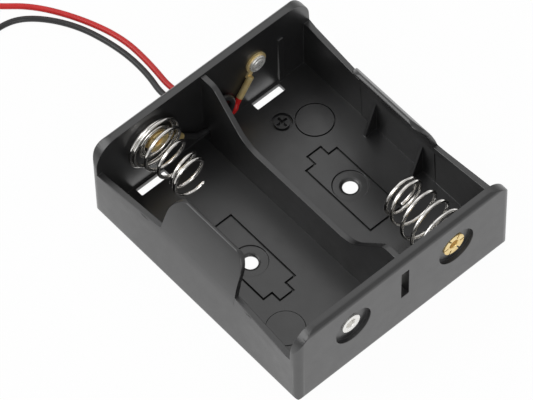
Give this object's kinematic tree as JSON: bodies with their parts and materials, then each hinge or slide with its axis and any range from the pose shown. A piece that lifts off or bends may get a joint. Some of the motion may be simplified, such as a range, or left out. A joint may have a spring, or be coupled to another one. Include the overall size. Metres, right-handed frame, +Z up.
{
  "type": "cylindrical cell holder",
  "caption": "Open moulded tray that holds cylindrical cells side by side under curled tongues, with coil-spring contacts, riveted terminals and insulated leads.",
  "frame": {"origin": "Middle of the tray's flat underside, which stands on the surface.", "axes": "+X across the two bays, +Y along the bays to the end wall where the leads leave, +Z up and out of the open top."},
  "size_m": [0.0776, 0.1289, 0.0241],
  "materials": {
    "tray_plastic": "satin black moulding",
    "spring_wire": "bright nickel-plated spring wire",
    "nickel_plate": "bright nickel plate",
    "brass": "bare brass",
    "red_insulation": "smooth soft PVC",
    "black_insulation": "smooth soft PVC",
    "tinned_copper": "tinned strands"
  },
  "bodies": {
    "tray": {"holder_body": "tray_plastic", "spring_eyelet_left": "brass", "spring_eyelet_right": "brass", "positive_rivet_left": "nickel_plate", "positive_rivet_right": "nickel_plate", "ring_lug_red": "brass", "ring_lug_black": "brass", "link_strip": "nickel_plate", "lead_red_inside": "red_insulation", "lead_red": "red_insulation", "lead_red_coil": "red_insulation", "lead_red_tail": "red_insulation", "lead_red_tip": "tinned_copper", "lead_black_inside": "black_insulation", "lead_black": "black_insulation", "lead_black_coil": "black_insulation", "lead_black_tail": "black_insulation", "lead_black_tip": "tinned_copper"},
    "left_spring_end": {"contact_spring_left": "spring_wire"},
    "right_spring_end": {"contact_spring_right": "spring_wire"}
  },
  "joints": [
    {"name": "left_spring_press", "type": "slide", "parent": "tray", "child": "left_spring_end", "axis": [0, 1, 0], "range_m": [0, 0.008], "stiffness_N_per_m": 500, "deforming": ["contact_spring_left"]},
    {"name": "right_spring_press", "type": "slide", "parent": "tray", "child": "right_spring_end", "axis": [0, -1, 0], "range_m": [0, 0.008], "stiffness_N_per_m": 500, "deforming": ["contact_spring_right"]}
  ]
}
